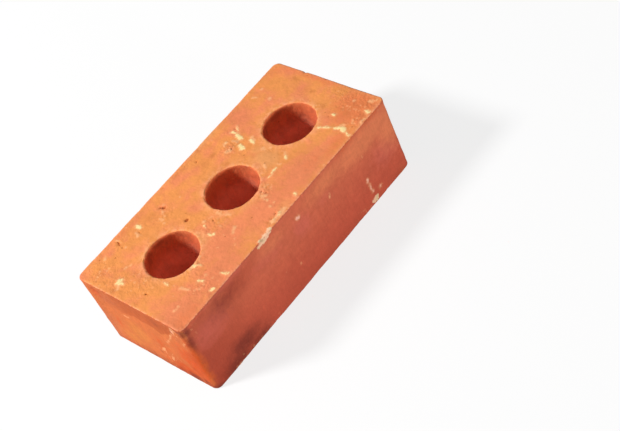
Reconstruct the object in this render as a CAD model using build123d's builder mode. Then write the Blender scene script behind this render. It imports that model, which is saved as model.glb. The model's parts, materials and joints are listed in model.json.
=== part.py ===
"""Extruded clay brick with three round cores, lying on its lower bed face.

The clay leaves the die along Z, so the section in XY is the die's opening: a rectangle with
rounded corners around a row of cores. Wires cut the column into bricks, which gives the two
bed faces at Z = 0 and Z = brick_height their crisp arrises. Lengths are in millimetres. The
origin is the middle of the lower bed face, with X along the brick's length.
"""

import os

from build123d import *

# The work size of the brick.
brick_length = 215.0
brick_width = 102.5
brick_height = 65.0

# The die: its own corner radius and the row of cores.
die_corner_radius = 5.0
core_diameter = 38.5
core_pitch = 62.5
core_count = 3

# Wear on the cut edges: around each bed face, and around the mouths of the cores.
bed_arris_radius = 1.0
core_mouth_chamfer = 0.8

with BuildPart() as brick:
    with BuildSketch(Plane.XY) as die_opening:
        RectangleRounded(brick_length, brick_width, die_corner_radius)
        with GridLocations(core_pitch, 0, core_count, 1):
            Circle(core_diameter / 2, mode=Mode.SUBTRACT)
    extrude(amount=brick_height)

    bed_faces = brick.faces().filter_by(Axis.Z)
    core_mouths = [face.inner_wires().edges() for face in bed_faces]
    chamfer([edge for mouths in core_mouths for edge in mouths], core_mouth_chamfer)

    bed_faces = brick.faces().filter_by(Axis.Z)
    bed_arrises = [face.outer_wire().edges() for face in bed_faces]
    fillet([edge for arrises in bed_arrises for edge in arrises], bed_arris_radius)

brick.part.label = "brick"

os.makedirs("parts", exist_ok=True)
export_step(brick.part, "parts/brick.step")
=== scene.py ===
"""A fired clay brick lying on its lower bed, on a white floor under soft light.

The brick is one mesh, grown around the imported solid's own box and cores: its skin is laid out
in rings and triangles, then worn, chipped and pitted inwards, so that it never leaves the
solid's outline. Names that end in _mm hold millimetres, and the mesh is worked out in them.
Blender gets metres. X runs along the brick, Y across it and Z up through its cores.
"""

import json
import math

import bpy
import numpy as np
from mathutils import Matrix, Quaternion, Vector, geometry, noise


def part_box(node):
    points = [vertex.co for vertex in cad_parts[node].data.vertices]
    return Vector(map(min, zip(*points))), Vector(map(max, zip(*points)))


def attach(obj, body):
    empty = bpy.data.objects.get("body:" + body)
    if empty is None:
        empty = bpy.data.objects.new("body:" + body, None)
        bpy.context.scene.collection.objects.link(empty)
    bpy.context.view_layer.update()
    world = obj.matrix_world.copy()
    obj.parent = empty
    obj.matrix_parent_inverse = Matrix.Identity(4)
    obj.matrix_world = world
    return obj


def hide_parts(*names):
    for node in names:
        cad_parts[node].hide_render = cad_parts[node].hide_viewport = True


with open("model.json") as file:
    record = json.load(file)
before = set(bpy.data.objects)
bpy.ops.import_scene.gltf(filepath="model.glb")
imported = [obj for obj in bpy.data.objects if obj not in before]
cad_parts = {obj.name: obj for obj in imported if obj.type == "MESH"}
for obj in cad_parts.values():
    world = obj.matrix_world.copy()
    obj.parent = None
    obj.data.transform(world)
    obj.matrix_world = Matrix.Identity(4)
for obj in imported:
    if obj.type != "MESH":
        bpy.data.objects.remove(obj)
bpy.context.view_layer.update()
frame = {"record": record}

MM = 0.001

# The solid that the skin follows.
low_corner, high_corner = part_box("brick")
length_mm, width_mm, height_mm = (high_corner - low_corner) / MM
half_length_mm, half_width_mm = length_mm / 2, width_mm / 2
cores = [mount for mount in frame["record"]["mounts"] if mount["kind"] == "bore"]
core_centres_mm = np.array([core["pos_m"][:2] for core in cores]) / MM
core_radius_mm = cores[0]["dims"]["r_mm"]
die_corner_mm = 5.0
arris_mm = 1.0
core_mouth_mm = 0.8
mouth_radius_mm = core_radius_mm + core_mouth_mm

# How deep in a core the colour of its mouth fades, its brown ends and its red, lightened as painted light,
# is full.
mouth_reach_mm = 8.0
core_brown_mm, core_painted_light_mm = 9.0, 26.0

# How fine the mesh is. Rings and rows of points along a mark are shares of its half width.
ring_step_mm = 1.0
edge_step_mm = 0.7
edge_band_mm = 4.0
face_step_mm = 1.3
hidden_step_mm = 1.7
mark_step_mm = 0.65
least_step_mm = 0.5
comb_sway = 0.15
mouth_row_count = 3
arris_steps = 3
mark_rings = (0, 0.45, 0.85, 1.3)
mark_rows = (-1.25, -0.6, 0, 0.6, 1.25)

# Relief: each noise's depth and the size of its lumps in mm, its octaves, shift and stretch.
relief = {
    "waves": (0.17, 45, 2),
    "lumps": (0.14, 9, 3, 11),
    "grain": (0.10, 3.2, 2, 5),
    "bumps": (0.30, 3.4, 2, 17),
    "wire_drag": (0.06, 3.0, 2, 3, (1, 9, 1)),
    "die_lines": (0.07, 3.2, 2, 8, (1, 1, 14)),
    "arris_wear": (0.40, 14, 3, 2),
    "rim_wear": (0.85, 3.6, 2, 50),
    "core_wear": (0.30, 7, 3, 70),
}
side_grain, more_bed_grain = 0.45, 0.55
inner_face_mm = (0.4, 5.0)
least_depth_mm, inner_depth_mm = 0.08, 0.20
edge_relief = 0.25
arris_wear_mm, arris_wear_reach_mm = 0.12, 1.0
rim_wear_mm, rim_wear_reach_mm = 0.22, 1.2
# Pale worn clay along the arrises and the beds' core rims, with a painted highlight where the lamp catches
# the edge.
worn_and_highlight_arris_mm, worn_and_highlight_rim_mm = 0.9, 2.6

# How far a mark stands out or sinks in, and at which reaches it begins and is full.
mark_relief_mm = {
    "lime": (0.28, -0.3, 0.8),
    "scuff": (0.12, -0.3, 0.8),
    "mortar": (0.45, -0.3, 0.9),
    "pit": (0.9, -0.35, 0.6),
}
mark_sway_mm = 3.2
past_marks_mm = -3.0
tone_round_edge_mm = 5.0

# Marks and tones strewn over the faces that the photograph doesn't show.
seed = 7
strewn_counts = {"lower_bed": 30, "back_stretcher": 9, "right_header": 8}
cluster_share, cluster_reach_mm = 0.4, 7.0
width_skew = 2.5
most_turn = 0.7
clear_of_mouths_mm = 3
tone_squat = 0.7
# A kind's share of that count, half widths, the length and number of steps, and the edge kept clear.
strewn_marks = {
    "lime": (1, (0.6, 2.3), 3.0, 2, 0.0),
    "scuff": (1, (0.6, 1.8), 2.5, 2, 0.0),
    "pit": (0.5, (0.5, 1.0), 1.0, 1, 6.0),
}
broad_mm, burnt_mm, smudge_mm = (8, 24), (8, 18), (2, 4)

# Small chips strewn along the arrises and the core mouths.
length_nibbles, width_nibbles, mouth_nibbles = 12, 7, 12
arris_nibble_mm, arris_bite_mm = (1.0, 2.6), (0.4, 0.8)
mouth_nibble_mm, mouth_bite_mm = (0.9, 2.0), (0.3, 0.8)
nibble_lean = 0.7
most_stretch = 2.4
chip_margin = 1.15
chip_raggedness, chip_lump_mm = 0.16, 3.0

# The camera, placed so that the brick fills the picture as it does in the photograph.
camera_place_m = (-0.3225, -0.6051, 0.6838)
camera_aim_m = (0.0030, -0.0686, 0.0650)
camera_lean = math.radians(26.27)
sensor_width_mm = 36.0
lens_mm = 80.4

# Light: a lamp high behind the brick's left, a weaker one low in front of it, and the sky.
# A lamp has its direction, then how wide it is in metres and its watts.
lamps = {"key": ((-0.54, 0.42, 0.62), 0.60, 104.0), "fill": ((-0.10, -0.992, 0.06), 0.3, 46.0)}
lamp_away_m = 3.0
sky_strength = 0.21
floor_reach_m = 6.0
floor_seen_grey, floor_lit_grey = 0.95, 0.50
floor_white_share = 0.80

# A face's axis and its level there. A place on a face is a pair, along the other two axes.
face_levels = {
    "upper_bed": (2, height_mm),
    "lower_bed": (2, 0.0),
    "front_stretcher": (1, -half_width_mm),
    "back_stretcher": (1, half_width_mm),
    "left_header": (0, -half_length_mm),
    "right_header": (0, half_length_mm),
}

# Lime that burst on the clay: half the mark's width, then the pair of each point on its run.
lime_marks = {"upper_bed": [
    (2.1, -55.7, 38.9, -55.2, 41.4), (2, -97, 18.8, -95, 18.4), (1.1, -96, 16.6, -96.2, 15),
    (0.9, -83, -12.6, -82.6, -15.4), (1.4, -63.8, -21.2, -63, -22.8), (0.9, -61.6, -24, -61, -26.5),
    (1.3, -71.2, -33.8, -69.6, -36), (1.4, -72.2, -46.2, -71.2, -47.4),
    (1, -59.4, -43.2, -58.2, -45.5, -57.2, -48.4), (0.8, -35, -7.2, -34, -4.4),
    (1.1, -38.6, -13, -37, -16.4), (2.1, 39, 30, 37.6, 25.4), (1.4, 39.2, 35.6, 40, 31.5),
    (0.8, 42.6, 32.6, 45.4, 36), (2, 31.8, 20.8, 30.6, 17.4), (1.4, 38.6, 16.6, 37.5, 12.4),
    (1, 29.8, 32.8), (0.8, 17, -18.8, 21.5, -18.9, 26.2, -18), (1.2, 36.8, -18.4, 36.2, -19.4),
    (0.5, 5, -24.4), (0.9, 1.3, -29.6, 1.2, -31.6), (1.2, 13.6, -45.8, 13, -47.2),
    (1.1, 66.6, -23, 69, -26.4, 70.6, -30, 71.4, -35.6), (1.6, 72.4, -37.4, 73.4, -40.2),
    (2.4, 73, -40.2, 72.2, -42), (1.1, 71.8, -43.4, 69.6, -47.6), (1.1, 81.2, -25.4, 81.6, -26.8),
    (1.5, 92.4, -45.6, 92, -47.8), (0.9, -9.4, -47.4), (0.9, -5, -47.8, -3.6, -47.2), (0.8, 104, -46.4),
], "front_stretcher": [
    (1.7, 3.4, 52.8, 5, 52.4), (1.2, 67.4, 23.2, 67.4, 22), (1.05, 67.2, 18.4, 67.5, 11.2),
    (1.4, 75.3, 9, 75.3, 8.4),
], "left_header": [
    (1.1, -36.4, 55, -37.6, 58.4),
]}

# Paler clay, scuffed or thinly limed, in the same form.
scuff_marks = {"upper_bed": [
    (1.3, -59.8, 37.2, -61.8, 34.8), (0.8, -60, 32), (1.3, -99, 17.6, -101.2, 15.6), (2.2, -96.4, 17.6),
    (1.3, -86.2, 43), (1, -86, 22.8, -82, 21.6), (0.8, -71, 46), (0.8, -72.6, 36.2),
    (1.2, -81.4, -25.4, -80, -29, -79.4, -32), (1.3, -65, -34.2), (1, -96.4, -34.6, -92.4, -35.4),
    (1.2, -66.6, -21.6, -60, -20.4), (0.9, -57.6, -21.6, -55, -20.4), (0.9, -32.8, 37),
    (0.8, -37.6, 34, -39, 31.6), (0.9, -40, 29.4), (0.8, -44.2, 30.8, -43.6, 27.6), (0.6, -45.2, 24.6),
    (1.4, -32, -1.6), (0.7, -26.4, -4.4), (0.8, -29.6, -14.8, -29.4, -17.4), (1, -22, -5.4, -21.4, -9.6),
    (1.1, -20.2, -13, -19.6, -15.6), (0.9, -44.6, -27), (1.2, -30.2, -28, -26, -25.2), (0.7, -33.4, -32),
    (0.8, -37.2, -35.6), (0.7, -1.6, -37, -1.6, -39.4), (2, -12, -47.4, -6, -48.2, 0.4, -47.6),
    (1.7, 23.2, 26.4, 25.4, 24.8), (1.1, 27.4, 31.2, 30, 33.4), (1.1, 33, 29, 34, 25),
    (1.3, 39.6, 14.8, 41.8, 18.4), (1.4, 36.4, 3.4, 35.4, 1.4), (0.9, 19.4, 2.6), (0.9, 18, -4),
    (1, 24.8, -9.2, 23.4, -11), (0.8, 29.8, -17.4, 30, -19.2), (0.9, 38.4, -16.4, 40.2, -14),
    (0.8, 38.6, -1.4, 38, -3.4), (0.6, 10.8, -26.2), (0.6, 13.2, -25.4), (0.9, 2.2, -37.2),
    (1.6, 1.6, -25.4, 4.4, -28), (0.8, 9.4, -22, 13, -22.6), (0.9, 72.6, 40.8, 71.6, 43.8), (1, 81, 43),
    (1.3, 76.2, 30.6, 75.8, 29.4), (1, 80, -4.6), (0.8, 82.6, -6.6, 84.6, -9),
    (0.7, 67, -22.6, 68.4, -25.2), (1.3, 74.6, -37.6, 76.4, -38.6), (1.4, 100.6, -42.4, 102, -44),
    (1.2, 82.4, -48.8, 86.6, -49.4), (0.7, 82, -42, 79.8, -44.4), (1.5, 97.6, -31.4), (0.8, 42, -48.8),
    (0.9, -16.4, 8.2),
], "front_stretcher": [
    (0.7, 33.6, 41.4, 34.8, 44), (0.8, -9, 19.6), (0.7, -22, 25), (0.8, 70.6, 43.6),
], "left_header": [
    (1.1, -35.6, 53, -38, 60), (0.6, -32.5, 51.5, -28, 44, -25, 39.5), (1.1, -7.4, 18, -9.8, 21.4),
    (1.2, -13, 11.2, -15.2, 15), (1, -40, 62, -42, 60), (0.6, -19, 33, -23, 37), (0.5, 14, 40, 24, 36.6),
    (0.5, -46, 50, -42, 45),
]}

# Mortar left on two edges.
mortar_marks = {"front_stretcher": [
    (1.6, -31, 63, -26, 62.6, -19, 64.4), (2, 65.4, 3.9, 69.2, 3.9),
], "upper_bed": [
    (1.2, -28, -50.6, -17, -49.8),
]}

# Open pits, in the same form.
pit_marks = {"upper_bed": [
    (0.9, -35.8, 37), (1.3, -34.6, 34.9), (0.6, -35, 30.2), (1.2, -36.2, 11.4),
    (0.8, -95.1, -6, -95.1, -7.6), (0.5, -61, 24.4), (0.5, 7, 41.2, 8, 42.2), (0.7, -72.2, 45, -73, 42.4),
    (0.6, -74.2, 38.6), (0.7, 27, 25.3), (0.5, 28.4, 31), (0.5, 20.4, 28.4), (0.6, 43.2, 35.2),
    (0.6, 5.6, -22.4), (0.5, 6.6, -26), (0.5, 0.4, -21.6), (0.6, -10, -45.4), (0.7, -5.6, -45),
    (0.5, -20.8, 48.2), (0.6, 79, -23.4), (0.5, -58.4, 35.6), (0.6, -28, -6.8), (0.5, 9.2, -20.6),
    (0.5, -12.6, -48.6),
], "left_header": [
    (0.9, 25.2, 62), (0.6, 38, 35),
]}

# Rough patches with bumps and flecks: the middle's pair, the spread both ways and the strength.
rough_patches = {"upper_bed": [
    (-97, 30, 12, 22, 0.75), (-92, 4, 12, 14, 0.65), (-64, -23, 9, 6, 1), (-73, -38, 14, 10, 0.7),
    (-32, -11, 9, 9, 0.7), (6, -24, 8, 5, 1), (-7, -47, 7, 4, 1), (25, 27, 7, 5, 1.3),
    (84, -45, 8, 5, 0.9), (98, -30, 10, 20, 0.8), (-71, 41, 7, 8, 0.6), (-39, 31, 8, 7, 0.5),
], "left_header": [
    (-38, 56, 9, 8, 0.8), (-12, 16, 9, 9, 0.6),
], "front_stretcher": [
    (-104, 58, 5, 8, 0.8),
]}

# Broad tones, in the same form.
salmon_tones = {"upper_bed": [
    (-98, -40, 26, 18, 1), (-60, -42, 26, 16, 1), (-38, -28, 26, 16, 1), (-6, -36, 28, 15, 1),
    (30, -38, 30, 15, 1), (53, 40, 12, 14, 1), (46, 24, 7, 12, 0.6), (-50, 47, 14, 5, 0.6),
    (26, 27, 8, 6, 0.5),
], "front_stretcher": [
    (5, 44, 10, 9, 0.9), (-88, 46, 18, 12, 0.9), (-28, 50, 20, 9, 0.6), (92, 30, 16, 12, 0.9),
    (30, 46, 10, 8, 0.5),
], "left_header": [
    (48, 16, 11, 24, 1), (30, 52, 16, 9, 0.8), (0, 58, 12, 6, 0.6), (-30, 30, 6, 10, 0.5),
]}
ember_tones = {"upper_bed": [
    (92, -36, 20, 18, 1), (62, -46, 18, 8, 0.7), (106, 10, 5, 45, 0.7), (100, 44, 8, 8, 0.5),
    (42, -38, 14, 8, 0.4), (-98, -46, 18, 9, 0.6), (-62, 47, 10, 4, 0.4),
], "left_header": [
    (-44, 22, 20, 24, 0.85), (-50, 30, 8, 32, 0.85), (-26, 8, 22, 9, 0.8), (-10, 24, 10, 14, 0.45),
    (40, 54, 6, 7, 0.6), (34, 24, 3, 9, 0.5),
], "front_stretcher": [
    (-108.6, 20, 2.6, 24, 0.4),
]}
tan_tones = {"upper_bed": [
    (30, -6, 9, 12, 1), (34, 6, 6, 8, 0.6), (-44, -8, 6, 9, 0.7), (-26, -40, 12, 8, 0.3),
    (2, -46, 8, 6, 0.5),
], "front_stretcher": [
    (78, 54, 38, 11, 1), (36, 56, 24, 9, 0.8), (102, 46, 16, 22, 0.9), (-22, 55, 16, 7, 0.6),
], "left_header": [
    (14, 24, 13, 12, 0.9), (26, 12, 13, 8, 0.8), (-16, 44, 9, 5, 0.6),
]}
# Darker clay over the front stretcher's left end and along its foot, partly painted shade where the brick's
# lower end lies in shade; strewn at random elsewhere as darker clay.
deep_and_shade_tones = {"front_stretcher": [
    (-112, 26, 60, 60, 1), (-60, 56, 34, 16, 0.8), (-100, 4, 22, 24, 1.2), (0, 2, 90, 10, 0.4),
]}
# At the foot of the front stretcher and of the left header these dark tones are painted contact shade; the
# others are burnt clay.
burnt_and_shade_tones = {"front_stretcher": [
    (-73, 11, 18, 10, 0.88), (-84, 4, 17, 8, 0.88), (-62, 2, 15, 8, 0.85), (-72, 54, 22, 14, 0.6),
    (-92, 61, 14, 4, 0.35), (-103.5, 61, 3, 5, 0.9), (-104.5, 51, 3, 11, 0.85), (45, 37, 26, 6, 0.2),
    (48, 0, 14, 3, 0.4), (-105, 1, 6, 4, 0.9),
], "left_header": [
    (-18, 54, 10, 9, 0.45), (-46, 36, 5, 14, 0.3), (-44, 4, 8, 6, 0.7), (-48, 60, 5, 6, 0.8),
    (-43, 61, 8, 4, 0.55), (-50, 50, 3, 9, 0.7), (-32, 3, 10, 5, 1), (0, 0, 70, 9, 0.6),
    (-4, 14, 3, 3, 0.5), (-50, 1, 6, 5, 0.9), (50, 50, 3, 16, 0.4), (42, 58, 10, 6, 0.35),
    (-32, 14, 20, 7, 0.3), (-38, 48, 12, 5, 0.35),
]}
smudge_tones = {"upper_bed": [
    (-97, 36, 2.4, 3, 0.6), (-103.5, 17, 2.4, 2, 0.8), (-104, -6.4, 1.8, 1.6, 0.6), (-71, 31, 2, 2, 0.4),
    (-45, 38, 4, 4, 0.4), (-9.5, 47, 2.4, 1.8, 0.6), (-2.5, 46.5, 1.8, 1.6, 0.6),
    (16.5, 34, 2.6, 2.2, 0.8), (15.6, 48, 1.4, 2.4, 0.7), (15, 18.5, 2, 2.4, 0.6), (8, 35, 5, 4, 0.3),
    (-14, -45.5, 1, 4, 0.8), (84.5, -13, 2.4, 2.4, 0.6), (98.6, 25, 1.6, 3, 0.6), (86, -33, 5, 2, 0.4),
    (92, 10, 4, 3, 0.3), (-84, 2, 3, 6, 0.3), (-72.8, 42.6, 1.2, 2.6, 0.7), (93.4, 4, 1.4, 2, 0.7),
]}

# The crease on the left header: the clay above it leans in under the arris, the clay below out again.
crease_line_mm = (
    (52, 35), (46, 37), (38, 37), (30, 40.5), (22, 40), (13, 42), (7, 44), (1, 43), (-4, 44), (-9, 43.5),
    (-14, 41), (-18, 40.5), (-23, 43), (-33, 50), (-38, 57), (-52, 60),
)
crease_depth_mm = 1.9
crease_sway_mm, crease_lump_mm = 1.5, 5
crease_return_mm, crease_return = 2.5, 0.25
crease_fade_in_mm, crease_fade_out_mm = (-48, -30), (40, 49)
lip_depth_mm, lip_reach_mm = 0.7, 2.2

# Chips: the middle of a hollow outside the clay, and its reach along X, Y and Z.
chips_mm = [
    ((-25, -52.6, 66.4), (6.5, 3.3, 3.3)), ((67, -52.8, -1.6), (3.6, 2.6, 3)),
    ((-107.4, -51.4, 58.5), (3.4, 3.4, 5)), ((-104.8, -52.8, 66.2), (3, 2.4, 2.2)),
    ((-110.6, -54.4, -3.8), (7.6, 7.4, 7.4)), ((-109.4, 25, 61.8), (2.9, 2.4, 2)),
    ((-8, -52.8, 66.6), (6, 2.9, 2.9)), ((107.8, 22, 66.2), (2.6, 3.4, 2.6)),
    ((-90, 52.4, 66.2), (5, 2.4, 2.4)), ((18, 52.4, 66.2), (4, 2.4, 2.4)),
]

all_marks = {"lime": lime_marks, "scuff": scuff_marks, "mortar": mortar_marks, "pit": pit_marks}
all_tones = {
    "rough": rough_patches, "salmon": salmon_tones, "ember": ember_tones, "tan": tan_tones,
    "deep": deep_and_shade_tones, "burnt_and_shade": burnt_and_shade_tones, "smudge": smudge_tones,
}


class Skin:
    """Vertices with their outward directions, and faces with their corners' places on a flat map."""

    def __init__(self):
        self.places = []
        self.outwards = []
        self.on_core = []
        self.faces = []
        self.flat_corners = []

    def add(self, places, outwards, on_core=False):
        first = len(self.places)
        self.places.extend(places)
        self.outwards.extend(outwards)
        self.on_core.extend([on_core] * len(places))
        return list(range(first, first + len(places)))

    def bridge(self, lower, upper, spans, low, high):
        """Joins two closed rings with quads. A span is a quad's (left, right, shift) on the flat map."""
        count = len(lower)
        for i, (left, right, (shift_x, shift_y)) in enumerate(spans):
            after = (i + 1) % count
            self.faces.append((lower[i], lower[after], upper[after], upper[i]))
            flat = ((left, low), (right, low), (right, high), (left, high))
            self.flat_corners.append([(u + shift_x, v + shift_y) for u, v in flat])


# The flat map: two beds and two stretchers in one column, cores and headers in the other.
flat_gap_mm = 2.0
arc_mm = die_corner_mm * math.pi / 2
side_climb_mm = height_mm - 2 * arris_mm + arris_mm * math.pi
core_climb_mm = height_mm - 2 * core_mouth_mm + 2 * core_mouth_mm * math.sqrt(2)
core_count = len(core_centres_mm)


def flat_column(left_mm, heights_mm):
    """The lower left corner of each patch in a column of the flat map."""
    return [(left_mm, sum(heights_mm[:i]) + (i + 1) * flat_gap_mm) for i in range(len(heights_mm))]


first_column = flat_column(flat_gap_mm, [width_mm] * 2 + [side_climb_mm] * 2)
second_column = flat_column(length_mm + 2 * flat_gap_mm, [core_climb_mm] * core_count + [side_climb_mm] * 2)
bed_shifts_mm = [(x + half_length_mm, y + half_width_mm) for x, y in first_column[:2]]
side_shifts_mm = [first_column[2], second_column[-2], first_column[3], second_column[-1]]
flat_side_mm = first_column[-1][1] + side_climb_mm + flat_gap_mm


def graded(low, high):
    """Levels from low to high, closer together near both ends."""
    fine = np.arange(0, edge_band_mm, edge_step_mm)
    middle_low, middle_high = low + edge_band_mm, high - edge_band_mm
    count = max(2, round((middle_high - middle_low) / face_step_mm))
    middle = np.linspace(middle_low, middle_high, count + 1)
    return np.concatenate([low + fine, middle, high - fine[::-1]])


def section_outline(inset_mm):
    """Points around the section, anticlockwise from its front left, with directions and flat spans."""
    reach = np.array([half_length_mm, half_width_mm]) - die_corner_mm
    corner_centres = reach * [(1, -1), (1, 1), (-1, 1), (-1, -1)]
    arc_steps = round(arc_mm / ring_step_mm)
    points, directions, spans = [], [], []
    for side, (centre, shift) in enumerate(zip(corner_centres, side_shifts_mm)):
        before = corner_centres[side - 1]
        turn = math.pi / 2 * (side - 1)
        run = math.dist(before, centre)
        run_steps = round(run / ring_step_mm)
        along = centre - before
        stops = [(before + along * i / run_steps, turn) for i in range(run_steps)]
        stops += [(centre, turn + math.pi / 2 * i / arc_steps) for i in range(arc_steps)]
        for middle, angle in stops:
            directions.append(np.array([math.cos(angle), math.sin(angle)]))
            points.append(middle + directions[-1] * (die_corner_mm - inset_mm))
        flats = [run * i / run_steps for i in range(run_steps)]
        flats += [run + arc_mm * i / arc_steps for i in range(arc_steps + 1)]
        spans += [(left, right, shift) for left, right in zip(flats, flats[1:])]
    return np.array(points), np.array(directions), spans


def stack_rings(skin, levels, ring_at, on_core=False):
    """Joins rings at (inset, height, out and up of the outward direction) levels into a wall.

    Returns the lowest and the highest ring, where the two bed faces begin.
    """
    rings = []
    climbed, before = 0.0, None
    for inset, z, out, up in levels:
        points, directions, spans = ring_at(inset)
        places = np.column_stack([points, np.full(len(points), z)])
        outwards = np.column_stack([directions * out, np.full(len(points), up)])
        rings.append(skin.add(places, outwards, on_core))
        if before:
            step = math.dist(before, (inset, z))
            skin.bridge(rings[-2], rings[-1], spans, climbed, climbed + step)
            climbed += step
        before = (inset, z)
    return rings[0], rings[-1]


def add_sides(skin):
    """The four sides with both arrises."""
    bends = np.linspace(0, math.pi / 2, arris_steps + 1)
    levels = [(arris_mm * (1 - math.cos(b)), arris_mm * (1 - math.sin(b)), -b) for b in bends[::-1]]
    levels += [(0.0, z, 0.0) for z in graded(arris_mm, height_mm - arris_mm)[1:-1]]
    levels += [(arris_mm * (1 - math.cos(b)), height_mm - arris_mm * (1 - math.sin(b)), b) for b in bends]
    levels = [(inset, z, math.cos(lift), math.sin(lift)) for inset, z, lift in levels]
    return stack_rings(skin, levels, section_outline)


def ring_spokes():
    """Unit spokes around a core, clockwise, so that its wall faces inwards."""
    count = round(2 * math.pi * core_radius_mm / ring_step_mm)
    angles = -np.arange(count) * 2 * math.pi / count
    return np.column_stack([np.cos(angles), np.sin(angles)])


def add_core(skin, centre, shift):
    """One core's wall with both mouths."""
    spokes = ring_spokes()
    step = 2 * math.pi * core_radius_mm / len(spokes)
    spans = [(i * step, (i + 1) * step, shift) for i in range(len(spokes))]
    slope = math.sqrt(0.5)
    half_mouth = core_mouth_mm / 2
    levels = [(core_mouth_mm, 0.0, -slope), (half_mouth, half_mouth, -slope)]
    levels += [(0.0, z, 0.0) for z in graded(core_mouth_mm, height_mm - core_mouth_mm)]
    levels += [(half_mouth, height_mm - half_mouth, slope), (core_mouth_mm, height_mm, slope)]
    levels = [(widening, z, math.sqrt(1 - lift * lift), lift) for widening, z, lift in levels]

    def ring_at(widening):
        return centre + spokes * (core_radius_mm + widening), -spokes, spans

    return stack_rings(skin, levels, ring_at, on_core=True)


def off_borders(points, edge_mm, mouth_mm):
    """Whether each point keeps those distances from a bed's outer border and from its cores' mouths."""
    inset_mm = arris_mm + edge_mm
    radius = max(die_corner_mm - inset_mm, 0.0)
    reach = np.array([half_length_mm, half_width_mm]) - inset_mm - radius
    past = np.maximum(np.abs(points) - reach, 0)
    inside = np.hypot(past[:, 0], past[:, 1]) <= radius
    return inside & (away_from_cores(points) > mouth_radius_mm + mouth_mm)


def away_from_cores(points):
    """The distance from each point to the nearest core's axis."""
    return np.min([np.hypot(*(points - centre).T) for centre in core_centres_mm], axis=0)


def mark_points(marks):
    """Points along each mark and round each spot, so that the mesh can follow them."""
    turns = np.arange(8) * math.pi / 4
    circle = np.column_stack([np.cos(turns), np.sin(turns)])
    groups = []
    for half_width, *numbers in marks:
        stops = np.reshape(numbers, (-1, 2))
        groups += [stops[0] + circle * half_width * share for share in mark_rings]
        for start, end in zip(stops, stops[1:]):
            run = end - start
            across = np.array([-run[1], run[0]]) / np.hypot(*run)
            steps = max(1, round(np.hypot(*run) / mark_step_mm))
            line = start + run * np.linspace(0, 1, steps + 1)[:, None]
            groups += [line + across * half_width * share for share in mark_rows]
    return np.concatenate(groups)


def thinned(points):
    """Leaves out each point that comes too close to an earlier one."""
    kept = {}
    for point in points:
        column, row = np.floor(point / least_step_mm).astype(int)
        near = [kept.get((column + i, row + j)) for i in (-1, 0, 1) for j in (-1, 0, 1)]
        if all(other is None or math.dist(point, other) > least_step_mm for other in near):
            kept[(column, row)] = point
    return np.array(list(kept.values()))


def bed_points(rng, marks, step_mm):
    """Points inside a bed face: rows beside its borders, the marks' own, and a loose honeycomb."""
    rows = np.arange(edge_step_mm, edge_band_mm, edge_step_mm)
    mouth_rows = rows[:mouth_row_count]
    points, directions, _ = section_outline(arris_mm)
    spokes = ring_spokes()
    groups = [points - directions * row for row in rows]
    for centre in core_centres_mm:
        groups += [centre + spokes * (mouth_radius_mm + row) for row in mouth_rows]

    fine = mark_points(marks)
    groups.append(fine[off_borders(fine, edge_step_mm, edge_step_mm)])

    xs = np.arange(-half_length_mm, half_length_mm, step_mm)
    ys = np.arange(-half_width_mm, half_width_mm, step_mm * math.sqrt(0.75))
    comb = np.array([(x + (j % 2) * step_mm / 2, y) for j, y in enumerate(ys) for x in xs])
    comb += rng.uniform(-comb_sway, comb_sway, comb.shape) * step_mm
    keep = off_borders(comb, rows[-1] + edge_step_mm, mouth_rows[-1] + edge_step_mm)
    return thinned(np.concatenate(groups + [comb[keep]]))


def add_bed(skin, outer_ring, mouth_rings, z, up, shift, inner_points):
    """One bed face between the outer ring and the cores' mouths."""
    borders = [outer_ring] + mouth_rings
    known = [index for ring in borders for index in ring]
    edges, first = [], 0
    for ring in borders:
        edges += [(first + i, first + (i + 1) % len(ring)) for i in range(len(ring))]
        first += len(ring)
    flat = [Vector(skin.places[index][:2]) for index in known]
    flat += [Vector(point) for point in inner_points]
    points, _, triangles, sources, _, _ = geometry.delaunay_2d_cdt(flat, edges, [], 1, 1e-5)

    index_of = []
    for point, source in zip(points, sources):
        border = [s for s in source if s < len(known)]
        if border:
            index_of.append(known[border[0]])
        else:
            index_of += skin.add([np.array([*point, z])], [np.array([0, 0, up])])
    mouths = [set(ring) for ring in mouth_rings]
    for triangle in triangles:
        turned = triangle[::up]
        corners = tuple(index_of[i] for i in turned)
        if not any(set(corners) <= mouth for mouth in mouths):
            skin.faces.append(corners)
            skin.flat_corners.append([(points[i][0] + shift[0], points[i][1] + shift[1]) for i in turned])


def grow_skin(rng):
    """The whole skin of the perfect brick, finer where there are marks on its beds."""
    skin = Skin()
    outer_rings = add_sides(skin)
    mouths = [add_core(skin, c, shift) for c, shift in zip(core_centres_mm, second_column)]
    beds = (("lower_bed", 0.0, -1, hidden_step_mm), ("upper_bed", height_mm, 1, face_step_mm))
    for i, (face, z, up, step_mm) in enumerate(beds):
        marks = [mark for marks_of in all_marks.values() for mark in marks_of.get(face, [])]
        inner_points = bed_points(rng, marks, step_mm)
        add_bed(skin, outer_rings[i], [mouth[i] for mouth in mouths], z, up, bed_shifts_mm[i], inner_points)
    return skin


def face_span(face, clear_mm=0.0):
    """The low and high corners of a face, drawn in by that much."""
    reach_a = (half_width_mm if face.endswith("header") else half_length_mm) - clear_mm
    if face.endswith("bed"):
        return (-reach_a, clear_mm - half_width_mm), (reach_a, half_width_mm - clear_mm)
    return (-reach_a, clear_mm), (reach_a, height_mm - clear_mm)


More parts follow.
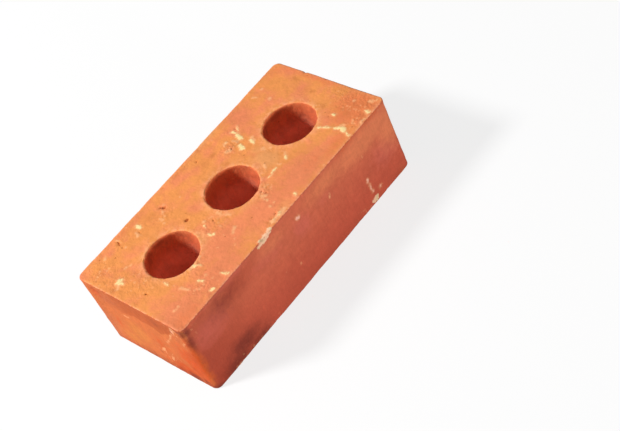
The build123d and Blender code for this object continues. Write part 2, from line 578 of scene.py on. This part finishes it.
def scattered_marks(rng, face, count, widths, wander_mm, steps, clear_edge_mm):
    """Marks like the photographed ones, strewn over a face that the photograph doesn't show.

    Most are small and few are wide, and some lie in a cluster with the one before.
    """
    low, high = face_span(face, clear_edge_mm)
    marks = []
    while len(marks) < count:
        place = np.array([rng.uniform(low[axis], high[axis]) for axis in (0, 1)])
        if marks and rng.uniform() < cluster_share:
            place = np.array(marks[-1][1:3]) + rng.uniform(-cluster_reach_mm, cluster_reach_mm, 2)
            place = np.clip(place, low, high)
        heading = rng.uniform(0, 2 * math.pi)
        points = [place]
        for _ in range(rng.integers(0, steps + 1)):
            heading += rng.uniform(-most_turn, most_turn)
            place = place + wander_mm * np.array([math.cos(heading), math.sin(heading)])
            points.append(place)
        clear_mm = away_from_cores(np.array(points)).min() - mouth_radius_mm
        if not face.endswith("bed") or clear_mm > clear_of_mouths_mm:
            half_width = widths[0] + (widths[1] - widths[0]) * rng.uniform() ** width_skew
            marks.append((half_width, *np.ravel(points)))
    return marks


def in_space(a, b, axis, level):
    """A face's pair with that level along the face's own axis."""
    return np.insert([float(a), float(b)], axis, level)


def mark_reach(places, marks_of):
    """How deep each place lies inside the nearest mark, in mm: below zero outside every mark."""
    sway = [rough(places, mark_sway_mm, 2, shift=30.0 + 9.0 * axis) for axis in range(3)]
    places = places + np.column_stack(sway)
    reach = np.full(len(places), past_marks_mm)
    for face, marks in marks_of.items():
        for half_width, *numbers in marks:
            points = np.reshape(numbers, (-1, 2))
            stops = [in_space(*point, *face_levels[face]) for point in (*points, points[-1])]
            for start, end in zip(stops, stops[1:]):
                run = end - start
                share = np.clip((places - start) @ run / max(run @ run, 1e-9), 0, 1)
                away = np.linalg.norm(places - start - share[:, None] * run, axis=1)
                reach = np.maximum(reach, half_width - away)
    return reach


def scattered_tones(rng, face, count, spreads, strengths):
    """Broad tones strewn over a face that the photograph doesn't show."""
    low, high = face_span(face)
    tones = []
    for _ in range(count):
        middle = [rng.uniform(low[axis], high[axis]) for axis in (0, 1)]
        spread = [rng.uniform(*spreads), rng.uniform(*spreads) * tone_squat]
        tones.append((*middle, *spread, rng.uniform(*strengths)))
    return tones


def tone(places, tones_of):
    """The strength of the broad tones at each place."""
    strength = np.zeros(len(places))
    for face, tones in tones_of.items():
        axis, level = face_levels[face]
        for a, b, spread_a, spread_b, peak in tones:
            centre = in_space(a, b, axis, level)
            spreads = in_space(spread_a, spread_b, axis, tone_round_edge_mm)
            away = np.linalg.norm((places - centre) / spreads, axis=1)
            strength = np.maximum(strength, peak * np.exp(-away ** 2))
    return strength


def rough(places, size_mm, octaves, shift=0.0, stretch=(1, 1, 1)):
    """Noise of about -1 to 1 at each place, with lumps of about that size."""
    scaled = places / (size_mm * np.array(stretch)) + shift
    return np.array([noise.fractal(Vector(place), 1.0, 2.0, octaves) for place in scaled])


def smooth_step(low, high, values):
    share = np.clip((values - low) / (high - low), 0, 1)
    return share * share * (3 - 2 * share)


def edge_distance(places, outwards, to_beds):
    """How far each place lies from the nearest arris or core mouth."""
    reach = np.array([half_length_mm, half_width_mm]) - die_corner_mm
    past = np.maximum(np.abs(places[:, :2]) - reach, 0)
    to_sides = np.minimum(half_length_mm - np.abs(places[:, 0]), half_width_mm - np.abs(places[:, 1]))
    to_sides = np.where((past > 0).all(axis=1), die_corner_mm - np.hypot(*past.T), to_sides)
    to_mouths = np.abs(away_from_cores(places[:, :2]) - core_radius_mm)
    on_bed = np.abs(outwards[:, 2]) > 0.99
    return np.where(on_bed, np.minimum(to_sides, to_mouths), to_beds)


def chip_depths(places, outwards, chips):
    """How far each place has to sink along its outward direction to reach the nearest hollow."""
    depths = np.zeros(len(places))
    for centre, reach in chips:
        near = np.where((np.abs(places - centre) < np.array(reach) * chip_margin).all(axis=1))[0]
        ragged = 1 + chip_raggedness * rough(places[near], chip_lump_mm, 2)
        offset = (places[near] - centre) / reach / ragged[:, None]
        heading = outwards[near] / reach / ragged[:, None]
        along = (offset * heading).sum(axis=1)
        size = (heading * heading).sum(axis=1)
        spare = 1 - (offset * offset).sum(axis=1)
        root = np.sqrt(np.maximum(along * along + size * spare, 0))
        depths[near] = np.maximum(depths[near], np.where(spare > 0, (along + root) / size, 0))
    return depths


def nibbles(rng):
    """Small seeded chips along the arrises and the core mouths."""
    chips = []
    halves = (half_length_mm, half_width_mm)
    levels = ((0, -1), (height_mm, 1))
    for side in (-1, 1):
        for z, lean in levels:
            for along, count in ((0, length_nibbles), (1, width_nibbles)):
                for _ in range(count):
                    size = rng.uniform(*arris_nibble_mm)
                    out = (size - rng.uniform(*arris_bite_mm)) * nibble_lean
                    centre = [0, 0, z + lean * out]
                    centre[along] = rng.uniform(-halves[along], halves[along])
                    centre[1 - along] = side * (halves[1 - along] + out)
                    reach = [size] * 3
                    reach[along] *= rng.uniform(1, most_stretch)
                    chips.append((centre, reach))
    for centre in core_centres_mm:
        for z, lean in levels:
            for _ in range(mouth_nibbles):
                size = rng.uniform(*mouth_nibble_mm)
                out = (size - rng.uniform(*mouth_bite_mm)) * nibble_lean
                turn = rng.uniform(0, 2 * math.pi)
                away = core_radius_mm - out
                x, y = centre[0] + away * math.cos(turn), centre[1] + away * math.sin(turn)
                chips.append(((x, y, z + lean * out), [size] * 3))
    return chips


def above_crease(places):
    """How far above the left header's crease each place lies, and how high the crease is there."""
    ys, zs = np.array(sorted(crease_line_mm)).T
    sway = crease_sway_mm * rough(places * (0, 1, 0), crease_lump_mm, 3)
    line = np.interp(places[:, 1], ys, zs) + sway
    return places[:, 2] - line, line


def on_left_header(places):
    """1 on the left header, fading out round its upright corners."""
    ys = places[:, 1]
    facing = smooth_step(half_length_mm - 3, half_length_mm - 0.5, -places[:, 0])
    return facing * smooth_step(*crease_fade_in_mm, ys) * (1 - smooth_step(*crease_fade_out_mm, ys))


def crease(places):
    """How deep each place sinks, from the left header's arris down to its crease and out again below.

    Returns with it the share of each place's clay that lies above the crease, under the lip, where the clay
    is painted with shade.
    """
    above, line = above_crease(places)
    lip = lip_depth_mm * (1 - np.exp(-(height_mm - places[:, 2]) / lip_reach_mm))
    down = np.clip(1 - above / np.maximum(height_mm - line, 1), 0, 1)
    back_out = np.clip(1 + above / line, 0, 1)
    below = crease_return * np.exp(above / crease_return_mm) + (1 - crease_return) * back_out
    facet = np.where(above > 0, down, below)
    lip = np.where(above > 0, lip, lip * back_out)
    here = on_left_header(places)
    return (lip + (crease_depth_mm - lip_depth_mm) * facet) * here, smooth_step(-1.5, 2.5, above) * here


def wear(skin, chips):
    """Sinks every vertex by its share of waves, grain, pits and chips. Returns places and traits."""
    places, outwards = np.array(skin.places), np.array(skin.outwards)
    on_core = np.array(skin.on_core)
    on_bed = outwards[:, 2] ** 2
    on_core_wall = on_core * (on_bed == 0)

    reaches = {name: mark_reach(places, marks_of) for name, marks_of in all_marks.items()}
    strengths = {name: tone(places, tones_of) for name, tones_of in all_tones.items()}
    noises = {name: depth * rough(places, *look) for name, (depth, *look) in relief.items()}
    to_beds = np.minimum(places[:, 2], height_mm - places[:, 2])
    edges = edge_distance(places, outwards, to_beds)
    to_rims = np.hypot(away_from_cores(places[:, :2]) - core_radius_mm, edges * on_core)
    inner = smooth_step(*inner_face_mm, edges)
    creased, under_lip_shade = crease(places)

    shares = {
        "waves": 1,
        "lumps": 1,
        "grain": side_grain + more_bed_grain * on_bed,
        "bumps": strengths["rough"],
        "wire_drag": on_bed,
        "die_lines": 1 - on_bed,
    }
    wavy = sum(noises[name] * share for name, share in shares.items())
    surface = least_depth_mm + inner_depth_mm * inner
    surface = surface + wavy * (edge_relief + (1 - edge_relief) * inner)

    worn = np.maximum(arris_wear_mm + noises["arris_wear"], 0) * np.exp(-edges / arris_wear_reach_mm)
    worn += np.maximum(rim_wear_mm + noises["rim_wear"], 0) * np.exp(-to_rims / rim_wear_reach_mm)
    worn += np.abs(noises["core_wear"]) * on_core_wall
    chipped = chip_depths(places, outwards, chips)

    swells = {
        name: height * smooth_step(low, high, reaches[name])
        for name, (height, low, high) in mark_relief_mm.items()
    }
    raised = swells["lime"] + swells["scuff"] + swells["mortar"]
    depths = surface - raised + worn + creased + swells["pit"]
    depths = np.maximum(np.maximum(depths, chipped - raised), 0)

    pale = np.maximum(np.exp(-edges / worn_and_highlight_arris_mm), np.exp(-to_rims / worn_and_highlight_rim_mm))
    core_painted_light = smooth_step(core_brown_mm, core_painted_light_mm, to_beds)
    traits = {name + "_reach": reach for name, reach in reaches.items()}
    traits |= strengths
    traits |= {
        "fresh": smooth_step(0.15, 0.5, chipped - (surface + worn)),
        # Painted highlight and wear: a pale line on the bed side of each arris and rim.
        "arris": pale * smooth_step(0.3, 0.8, on_bed),
        "cut_face": on_bed * ~on_core + on_core * (on_bed > 0),
        "header": outwards[:, 0] ** 2 * ~on_core,
        "core_wall": on_core_wall,
        # Orange near the mouths: partly painted light where light reaches into a core.
        "mouth": on_core * np.exp(-to_beds / mouth_reach_mm),
        # Painted light: the middle of each core's long walls is lightened as if lit through the far mouth;
        # towards the neighbouring cores it stays brown.
        "core_painted_light": core_painted_light * smooth_step(0.0, 0.5, np.abs(outwards[:, 1])),
        # Painted shade under the left header's lip, fading out towards its +Y end.
        "under_lip_shade": under_lip_shade * smooth_step(60, -10, places[:, 1]),
        "climb": places[:, 2] / height_mm,
    }
    return places - outwards * depths[:, None], traits


def linked(name, data):
    """A new object with that data, in the scene."""
    thing = bpy.data.objects.new(name, data)
    bpy.context.scene.collection.objects.link(thing)
    return thing


def strew_hidden_faces(rng):
    """Adds marks and tones for the faces that the photograph doesn't show."""
    for face, count in strewn_counts.items():
        for name, (share, *look) in strewn_marks.items():
            all_marks[name][face] = scattered_marks(rng, face, int(count * share), *look)
        for name, tones in all_tones.items():
            peak = 0.5 if name == "ember" else 1.0
            tones[face] = scattered_tones(rng, face, count // 3, broad_mm, (0.4 * peak, peak))
        all_tones["burnt_and_shade"][face] = scattered_tones(rng, face, 3, burnt_mm, (0.4, 0.9))
        all_tones["smudge"][face] = scattered_tones(rng, face, count // 3, smudge_mm, (0.5, 0.8))


def make_brick():
    rng = np.random.default_rng(seed)
    strew_hidden_faces(rng)
    skin = grow_skin(rng)
    places, traits = wear(skin, chips_mm + nibbles(rng))

    mesh = bpy.data.meshes.new("fired_brick")
    mesh.from_pydata((places * MM).tolist(), [], skin.faces)
    mesh.update()
    flat = np.array([corner for corners in skin.flat_corners for corner in corners]) / flat_side_mm
    mesh.uv_layers.new(name="OFBake").data.foreach_set("uv", flat.ravel())
    for name, values in traits.items():
        mesh.attributes.new(name, "FLOAT", "POINT").data.foreach_set("value", values.astype(np.float32))
    mesh.shade_smooth()
    mesh.set_sharp_from_angle(angle=math.radians(50))
    return linked("fired_brick", mesh)


class Nodes:
    """Short names for the shader nodes in use."""

    def __init__(self, tree):
        self.nodes = tree.nodes
        self.links = tree.links

    def feed(self, node, inputs):
        for name, value in inputs.items():
            if isinstance(value, bpy.types.NodeSocket):
                self.links.new(value, node.inputs[name])
            else:
                node.inputs[name].default_value = value

    def new(self, kind, inputs=None, **settings):
        """Makes a node and returns its outputs."""
        node = self.nodes.new("ShaderNode" + kind)
        for name, value in settings.items():
            setattr(node, name, value)
        self.feed(node, inputs or {})
        return node.outputs

    def math(self, operation, a, b):
        return self.new("Math", {0: a, 1: b}, operation=operation)["Value"]

    def times(self, a, b):
        return self.math("MULTIPLY", a, b)

    def vector(self, operation, a, b):
        second = "Scale" if operation == "SCALE" else 1
        return self.new("VectorMath", {0: a, second: b}, operation=operation)["Vector"]

    def step(self, value, low, high):
        """0 below low, 1 above high and a soft rise between."""
        inputs = {"Value": value, "From Min": low, "From Max": high}
        return self.new("MapRange", inputs, interpolation_type="SMOOTHSTEP")["Result"]

    def spread(self, value, low, high):
        """Stretches a value from 0..1 to low..high."""
        return self.math("ADD", self.times(value, high - low), low)

    def mix(self, share, a, b, most=None):
        """Goes from colour a to colour b by the share, times most where that is given."""
        share = share if most is None else self.times(share, most)
        a, b = (c if isinstance(c, bpy.types.NodeSocket) else (*c, 1) for c in (a, b))
        return self.new("Mix", {"Factor": share, "A": a, "B": b}, data_type="RGBA")["Result"]

    def layers(self, under, *coats):
        """Mixes one coat after another over a colour: each has its share, colour and perhaps most."""
        for share, colour, *most in coats:
            under = self.mix(share, under, colour, *most)
        return under

    def vary(self, colour, value, dim, bright):
        """Scales a colour by dim where the value is 0, up to bright where it is 1."""
        return self.vector("SCALE", colour, self.spread(value, dim, bright))

    def by_view(self, hidden, shown):
        """One number for rays that carry the background's light, another for those that show it."""
        path = self.new("LightPath")
        seen = path["Is Camera Ray"]
        for kind in ("Is Glossy Ray", "Is Transmission Ray"):
            seen = self.math("MAXIMUM", seen, path[kind])
        return self.new("MapRange", {"Value": seen, "To Min": hidden, "To Max": shown})["Result"]


class Paint(Nodes):
    """The clay's place in mm, and the noises, traits and specks that it is painted with."""

    def __init__(self, tree):
        super().__init__(tree)
        self.place = self.vector("SCALE", self.new("TexCoord")["Object"], 1 / MM)
        sway = self.new("TexNoise", {"Vector": self.place, "Scale": 1 / fray_lump_mm})["Color"]
        self.frayed = self.vector("ADD", self.place, self.vector("SCALE", sway, fray_reach_mm))
        self.clouds = self.noise(34, 3, 0.5)
        self.drift = self.noise(12, 3, 0.5, shift=15.0)
        self.mottle = self.noise(4.5, 4, 0.6, shift=20.0)
        self.grain = self.noise(1.3, 3, 0.6, shift=40.0)
        self.dust = self.noise(0.45, 2, 0.6, shift=60.0)
        self.pebbles = self.noise(2.2, 3, 0.6, shift=80.0)
        self.drag = self.noise(1.5, 3, 0.6, shift=90.0, stretch=(1, 1, 9))
        self.rough_patch = self.trait("rough")
        self.cut_face = self.trait("cut_face")
        self.side = self.math("SUBTRACT", 1.0, self.cut_face)

    def trait(self, name):
        return self.new("Attribute", attribute_name=name)["Fac"]

    def ragged(self, name, by, *noises):
        """A trait with its edge broken up by noises."""
        value = self.trait(name)
        for broken in noises:
            value = self.math("ADD", value, self.spread(broken, -by, by))
        return value

    def tone(self, name):
        by, low, high = tone_edges[name]
        return self.step(self.ragged(name, by, self.mottle), low, high)

    def noise(self, size_mm, detail, roughness, shift=0.0, stretch=(1, 1, 1)):
        """Cloudy noise around 0.5."""
        place = self.vector("MULTIPLY", self.place, [1 / s for s in stretch])
        place = self.vector("ADD", place, [shift] * 3)
        look = {"Scale": 1 / size_mm, "Detail": detail, "Roughness": roughness}
        return self.new("TexNoise", {"Vector": place, **look})["Fac"]

    def specks(self, spacing_mm, size_share, share, shift=0.0):
        """Frayed specks of mixed sizes in about that share of the cells."""
        place = self.vector("ADD", self.frayed, [shift] * 3)
        cells = self.new("TexVoronoi", {"Vector": place, "Scale": 1 / spacing_mm})
        channels = self.new("SeparateColor", {"Color": cells["Color"]})
        chosen = self.step(channels["Red"], 1 - share, 1 - share + 0.02)
        size = self.times(channels["Green"], size_share)
        inside = self.math("SUBTRACT", size, cells["Distance"])
        return self.times(self.step(inside, -0.04, 0.06), chosen)

    def bump(self, height, distance_mm, before):
        inputs = {"Height": height, "Distance": distance_mm * MM}
        if before:
            inputs["Normal"] = before
        return self.new("Bump", inputs)["Normal"]


# Colours of the fired clay and of what lies on it.
bed_orange = (0.9, 0.322, 0.088)
bed_salmon = (0.855, 0.255, 0.108)
bed_ember = (0.8, 0.205, 0.072)
bed_tan = (0.85, 0.345, 0.118)
stretcher_high = (0.65, 0.146, 0.072)
stretcher_low = (0.605, 0.106, 0.056)
# Darker stretcher clay, partly painted shade.
stretcher_deep_and_shade = (0.41, 0.061, 0.03)
stretcher_tan = (0.77, 0.21, 0.092)
stretcher_rose = (0.665, 0.139, 0.094)
corner_orange = (0.62, 0.108, 0.028)
header_orange = (0.71, 0.18, 0.053)
header_yellow = (0.725, 0.218, 0.053)
header_rose = (0.63, 0.17, 0.064)
header_ember = (0.69, 0.097, 0.018)
# Painted shade for the band under the left header's lip.
lip_shade_brown = (0.575, 0.118, 0.03)
# Core colours: the middle red is lightened as painted light, and the mouths' orange is partly painted
# light.
core_red_painted_light = (0.97, 0.34, 0.225)
core_brown = (0.7, 0.145, 0.06)
core_umber = (0.43, 0.075, 0.035)
mouth_orange_and_light = (0.86, 0.222, 0.075)
# Burnt clay, and painted contact shade at the foot of the front stretcher and the left header.
burnt_and_shade_brown = (0.19, 0.03, 0.019)
smudge_brown = (0.64, 0.2, 0.055)
pit_brown = (0.38, 0.07, 0.01)
scuff_pale = (0.96, 0.47, 0.215)
# Pale rose for worn arrises and rims, also a painted highlight.
worn_and_highlight_rose = (0.98, 0.45, 0.25)
lime_cream = (0.97, 0.74, 0.34)
lime_rose = (1.0, 0.5, 0.37)
mortar_cream = (1.0, 0.59, 0.37)
mortar_green = (0.8, 0.62, 0.34)

# Each tone's raggedness, and the strengths at which it starts and covers the clay.
tone_edges = {
    "salmon": (0.5, 0.1, 0.9), "ember": (0.5, 0.1, 0.9), "tan": (0.3, 0.1, 0.9),
    "climb": (0.25, 0.1, 0.9), "deep": (0.25, 0.1, 1.3), "under_lip_shade": (0.5, 0.1, 0.9),
    "burnt_and_shade": (0.4, 0.1, 1.0), "cut_face": (0.10, 0.62, 0.95),
}
fray_lump_mm, fray_reach_mm = 1.1, 1.8


def painted_faces(paint):
    """The colour of each kind of face, with its broad tones."""
    salmon, ember, tan = (paint.tone(name) for name in ("salmon", "ember", "tan"))

    bed = paint.mix(paint.step(paint.drift, 0.40, 0.75), bed_orange, bed_salmon)
    bed = paint.layers(bed, (salmon, bed_salmon), (ember, bed_ember, 0.8), (tan, bed_tan))
    stretcher = paint.layers(
        paint.mix(paint.tone("climb"), stretcher_low, stretcher_high),
        (paint.tone("deep"), stretcher_deep_and_shade),
        (salmon, stretcher_rose, 0.6),
        (tan, stretcher_tan),
        (ember, corner_orange),
    )
    header = paint.layers(
        header_orange,
        (salmon, header_rose),
        (tan, header_yellow),
        (ember, header_ember),
        (paint.tone("under_lip_shade"), lip_shade_brown, 0.8),
    )
    clay = paint.mix(paint.step(paint.trait("header"), 0.2, 0.6), stretcher, header)
    return paint.mix(paint.tone("cut_face"), clay, bed)


def painted_cores(paint):
    """The cores' walls: orange at the mouths, partly painted light, then brown with umber patches, and a
    red middle lightened with painted light as if lit through the far mouth.
    """
    middle = paint.trait("core_painted_light")
    umber = paint.times(paint.step(paint.drift, 0.52, 0.34), paint.spread(middle, 0.45, 0.1))
    core = paint.mix(middle, core_brown, core_red_painted_light)
    return paint.layers(core, (paint.trait("mouth"), mouth_orange_and_light), (umber, core_umber))


def weathered(paint, clay):
    """Worn arrises with a painted highlight, fresh chips, patches of burnt clay and painted contact shade,
    and smudges.
    """
    broken = paint.math("ADD", paint.mottle, paint.spread(paint.grain, -0.5, 0.5))
    return paint.layers(
        clay,
        (paint.times(paint.trait("arris"), paint.step(broken, 0.38, 0.58)), worn_and_highlight_rose, 0.8),
        (paint.trait("fresh"), scuff_pale, 0.12),
        (paint.tone("burnt_and_shade"), burnt_and_shade_brown, 0.8),
        (paint.trait("smudge"), smudge_brown),
    )


def uneven(paint, clay):
    """Lighter and darker clay in lumps of every size, and in streaks and blotches on the sides."""
    for value, low, high, dim, bright in (
        (paint.clouds, 0.3, 0.7, 0.97, 1.03),
        (paint.drift, 0.3, 0.7, 0.97, 1.03),
        (paint.mottle, 0.35, 0.65, 0.955, 1.02),
        (paint.grain, 0.3, 0.7, 0.98, 1.02),
    ):
        clay = paint.vary(clay, paint.step(value, low, high), dim, bright)
    clay = paint.vary(clay, paint.dust, 0.97, 1.03)
    streaks = paint.times(paint.step(paint.drag, 0.35, 0.65), paint.side)
    clay = paint.vary(clay, streaks, 1.0, 1.04)
    blotches = paint.times(paint.step(paint.pebbles, 0.62, 0.40), paint.side)
    return paint.vary(clay, blotches, 1.0, 0.97)


def speckled(paint, clay):
    """Dark and pale specks on the bare clay, and more of them where it is rough."""
    rough_patch = paint.rough_patch
    bare = paint.math("MAXIMUM", paint.cut_face, paint.times(paint.trait("core_wall"), 0.5))
    return paint.layers(
        clay,
        (paint.specks(3.4, 0.24, 0.08), pit_brown, 0.5),
        (paint.times(paint.step(paint.pebbles, 0.42, 0.30), rough_patch), smudge_brown, 0.5),
        (paint.times(paint.specks(3.1, 0.30, 0.06, shift=9.0), bare), scuff_pale, 0.5),
        (paint.times(paint.specks(2.2, 0.50, 0.45, shift=13.0), rough_patch), scuff_pale, 0.7),
    )


def marked(paint, clay):
    """Scuffs, lime and the pale clay round it, mortar and open pits."""
    def level(name, by, low, high):
        return paint.step(paint.ragged(name, by, paint.grain, paint.mottle), low, high)

    lime = paint.mix(paint.step(paint.cut_face, 0.3, 0.7), lime_rose, lime_cream)
    mortar = paint.mix(paint.step(paint.mottle, 0.46, 0.64), mortar_cream, mortar_green)
    return paint.layers(
        clay,
        (level("scuff_reach", 1.2, -0.9, 1.1), scuff_pale, 0.8),
        (level("lime_reach", 1.2, -1.5, 0.8), scuff_pale, 0.45),
        (level("lime_reach", 1.3, -0.3, 1.1), lime),
        (level("mortar_reach", 1.4, -0.7, 0.7), mortar),
        (paint.step(paint.trait("pit_reach"), -0.3, 0.5), pit_brown, 0.85),
    )


def clay_material():
    material = bpy.data.materials.new("fired_clay")
    material.use_nodes = True
    shader = material.node_tree.nodes["Principled BSDF"]
    paint = Paint(material.node_tree)
    clay = paint.mix(paint.trait("core_wall"), painted_faces(paint), painted_cores(paint))
    clay = uneven(paint, weathered(paint, clay))
    clay = marked(paint, speckled(paint, clay))

    normal = None
    for height, distance_mm in (
        (paint.mottle, 0.50),
        (paint.times(paint.pebbles, paint.spread(paint.rough_patch, 0.22, 1.2)), 0.9),
        (paint.grain, 0.14),
        (paint.dust, 0.07),
        (paint.times(paint.drag, paint.side), 0.28),
    ):
        normal = paint.bump(height, distance_mm, normal)
    roughness = paint.spread(paint.grain, 0.84, 0.98)
    paint.feed(shader, {"Base Color": clay, "Roughness": roughness, "Normal": normal})
    paint.feed(shader, {"Specular IOR Level": 0.2})
    return material


def aim(thing, place_m, at_m=(0, 0, 0), lean=0.0):
    """Puts a camera or a lamp at its place and turns it to what it looks at."""
    thing.location = place_m
    thing.rotation_mode = "QUATERNION"
    upright = (Vector(at_m) - thing.location).to_track_quat("-Z", "Y")
    thing.rotation_quaternion = upright @ Quaternion((0, 0, 1), -lean)


def add_camera():
    data = bpy.data.cameras.new("camera")
    data.sensor_width = sensor_width_mm
    data.lens = lens_mm
    camera = linked("camera", data)
    aim(camera, camera_place_m, camera_aim_m, camera_lean)
    bpy.context.scene.camera = camera


def add_lamp(name, direction, size_m, watts):
    data = bpy.data.lights.new(name, "AREA")
    data.shape = "DISK"
    data.size = size_m
    data.energy = watts
    aim(linked(name, data), Vector(direction).normalized() * lamp_away_m)


def add_sky():
    world = bpy.data.worlds.new("sky")
    bpy.context.scene.world = world
    world.use_nodes = True
    tree = Nodes(world.node_tree)
    strength = tree.by_view(sky_strength, 1.0)
    tree.feed(tree.nodes["Background"], {"Color": (1, 1, 1, 1), "Strength": strength})


def floor_material():
    """White that keeps a faint shadow, and that throws less light up than it shows."""
    material = bpy.data.materials.new("floor_white")
    material.use_nodes = True
    tree = Nodes(material.node_tree)
    matte = tree.nodes["Principled BSDF"]
    grey = tree.by_view(floor_lit_grey, floor_seen_grey)
    tree.feed(matte, {"Roughness": 1.0, "Specular IOR Level": 0.0, "Base Color": grey})
    white = tree.new("Emission", {"Color": (1, 1, 1, 1)})["Emission"]
    share = tree.by_view(0.0, floor_white_share)
    surface = tree.new("MixShader", {"Fac": share, 1: matte.outputs["BSDF"], 2: white})["Shader"]
    tree.feed(tree.nodes["Material Output"], {"Surface": surface})
    return material


def add_floor():
    reach = floor_reach_m
    corners = [(-reach, -reach, 0), (reach, -reach, 0), (reach, reach, 0), (-reach, reach, 0)]
    mesh = bpy.data.meshes.new("floor")
    mesh.from_pydata(corners, [], [(0, 1, 2, 3)])
    mesh.materials.append(floor_material())
    floor = linked("floor", mesh)


brick = make_brick()
brick.data.materials.append(clay_material())
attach(brick, "root")
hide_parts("brick")

add_camera()
for name, look in lamps.items():
    add_lamp(name, *look)
add_sky()
add_floor()
bpy.context.scene.view_settings.view_transform = "Standard"
